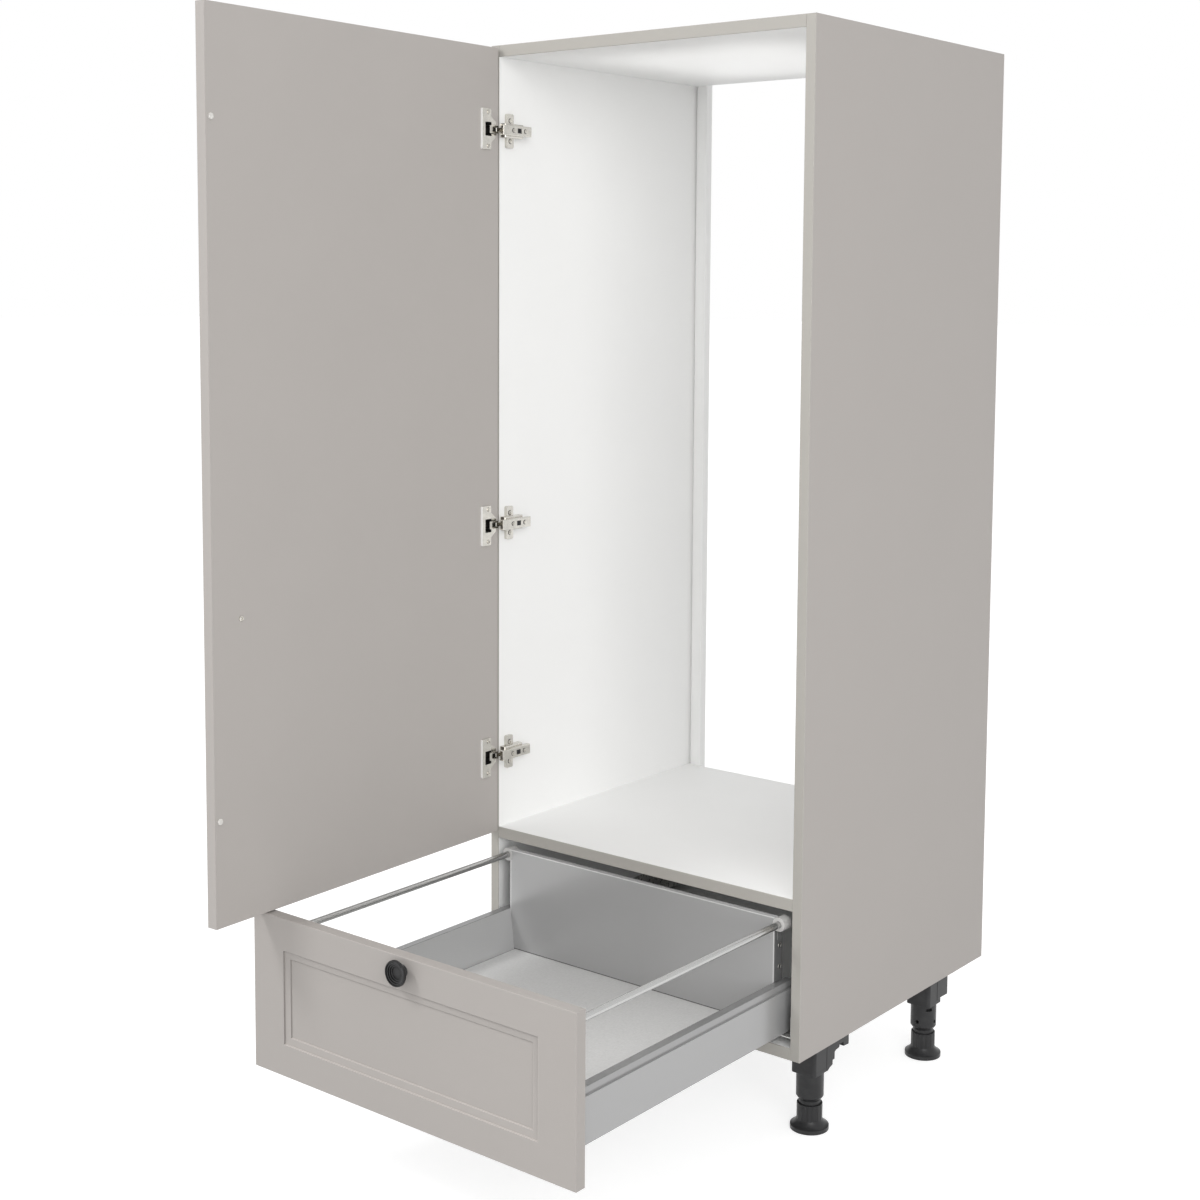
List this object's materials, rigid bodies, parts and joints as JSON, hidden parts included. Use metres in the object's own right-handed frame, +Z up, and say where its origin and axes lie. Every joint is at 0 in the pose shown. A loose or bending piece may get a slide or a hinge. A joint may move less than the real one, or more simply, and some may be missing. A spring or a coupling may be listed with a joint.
{
  "type": "fridge housing unit",
  "caption": "Tall kitchen cabinet on adjustable legs that houses a built-in fridge above a shelf, with a hinged framed door and a steel-sided pull-out drawer below.",
  "frame": {"origin": "on the floor, under the middle of the carcass", "axes": "+Z up, +X to the right seen from the front, the front faces -Y"},
  "size_m": [0.6001, 1.167, 1.644],
  "materials": {
    "carcass_board": "smooth matt laminate, light greige outside and on the front edges, white inside",
    "front_board": "smooth matt light greige foil",
    "white_board": "smooth white laminate",
    "grey_board": "fine grey linen laminate",
    "dowel_wood": "plain beech",
    "black_plastic": "moulded black plastic with a slight sheen",
    "black_metal": "satin black paint",
    "clear_rubber": "translucent soft pad",
    "grey_plastic": "moulded grey plastic",
    "grey_steel": "satin silver-grey paint",
    "zinc_steel": "zinc-plated sheet steel",
    "nickel": "satin nickel plate"
  },
  "bodies": {
    "carcass": {"bottom_panel": "carcass_board", "carcass_dowels": "dowel_wood", "carcass_screws": "nickel", "fridge_shelf": "carcass_board", "front_left_leg": "black_plastic", "front_right_leg": "black_plastic", "hinge_arm_screws": "nickel", "left_back_strip": "white_board", "left_cabinet_rail": "zinc_steel", "left_side_panel": "carcass_board", "lower_back_panel": "white_board", "lower_hinge_arm": "nickel", "lower_hinge_link": "nickel", "lower_hinge_plate": "nickel", "middle_hinge_arm": "nickel", "middle_hinge_link": "nickel", "middle_hinge_plate": "nickel", "rear_left_leg": "black_plastic", "rear_right_leg": "black_plastic", "right_back_strip": "white_board", "right_cabinet_rail": "zinc_steel", "right_side_panel": "carcass_board", "top_panel": "carcass_board", "upper_hinge_arm": "nickel", "upper_hinge_link": "nickel", "upper_hinge_plate": "nickel"},
    "door": {"door_buffers": "clear_rubber", "door_knob": "black_metal", "door_knob_screw": "nickel", "door_panel": "front_board", "hinge_cup_screws": "nickel", "hinge_pins": "nickel", "lower_hinge_cup": "nickel", "middle_hinge_cup": "nickel", "upper_hinge_cup": "nickel"},
    "drawer": {"bracket_rivets": "nickel", "drawer_back": "grey_steel", "drawer_base": "grey_board", "drawer_front": "front_board", "drawer_knob": "black_metal", "drawer_knob_screw": "nickel", "front_fixing_screws": "nickel", "front_fixings": "grey_plastic", "gallery_rails": "grey_steel", "gallery_sockets": "grey_plastic", "left_back_bracket": "grey_steel", "left_drawer_rail": "zinc_steel", "left_drawer_side": "grey_steel", "right_back_bracket": "grey_steel", "right_drawer_rail": "zinc_steel", "right_drawer_side": "grey_steel"},
    "mid_rails": {"left_mid_rail": "zinc_steel", "right_mid_rail": "zinc_steel"},
    "hinge_levers": {"lower_hinge_lever": "nickel", "middle_hinge_lever": "nickel", "upper_hinge_lever": "nickel"},
    "front_left_foot": {"front_left_foot": "black_plastic"},
    "front_right_foot": {"front_right_foot": "black_plastic"},
    "rear_left_foot": {"rear_left_foot": "black_plastic"},
    "rear_right_foot": {"rear_right_foot": "black_plastic"}
  },
  "joints": [
    {"name": "door_hinge", "type": "hinge", "parent": "carcass", "child": "door", "pos_m": [-0.2911, -0.2955, 1.012], "axis": [0, 0, 1], "range_deg": [-6.7, 88.3]},
    {"name": "hinge_lever_swing", "type": "hinge", "parent": "carcass", "child": "hinge_levers", "pos_m": [-0.2911, -0.2955, 1.012], "axis": [0, 0, 1], "range_deg": [-3.35, 44.15]},
    {"name": "drawer_slide", "type": "slide", "parent": "carcass", "child": "drawer", "axis": [0, -1, 0], "range_m": [-0.485, 0]},
    {"name": "mid_rail_slide", "type": "slide", "parent": "carcass", "child": "mid_rails", "axis": [0, -1, 0], "range_m": [-0.2425, 0]},
    {"name": "front_left_foot_screw", "type": "slide", "parent": "carcass", "child": "front_left_foot", "axis": [0, 0, -1], "range_m": [-0.005, 0.02]},
    {"name": "front_right_foot_screw", "type": "slide", "parent": "carcass", "child": "front_right_foot", "axis": [0, 0, -1], "range_m": [-0.005, 0.02]},
    {"name": "rear_left_foot_screw", "type": "slide", "parent": "carcass", "child": "rear_left_foot", "axis": [0, 0, -1], "range_m": [-0.005, 0.02]},
    {"name": "rear_right_foot_screw", "type": "slide", "parent": "carcass", "child": "rear_right_foot", "axis": [0, 0, -1], "range_m": [-0.005, 0.02]}
  ],
  "couplings": [
    {"joint": "mid_rail_slide", "follows": "drawer_slide", "ratio": 0.5},
    {"joint": "hinge_lever_swing", "follows": "door_hinge", "ratio": 0.5}
  ]
}
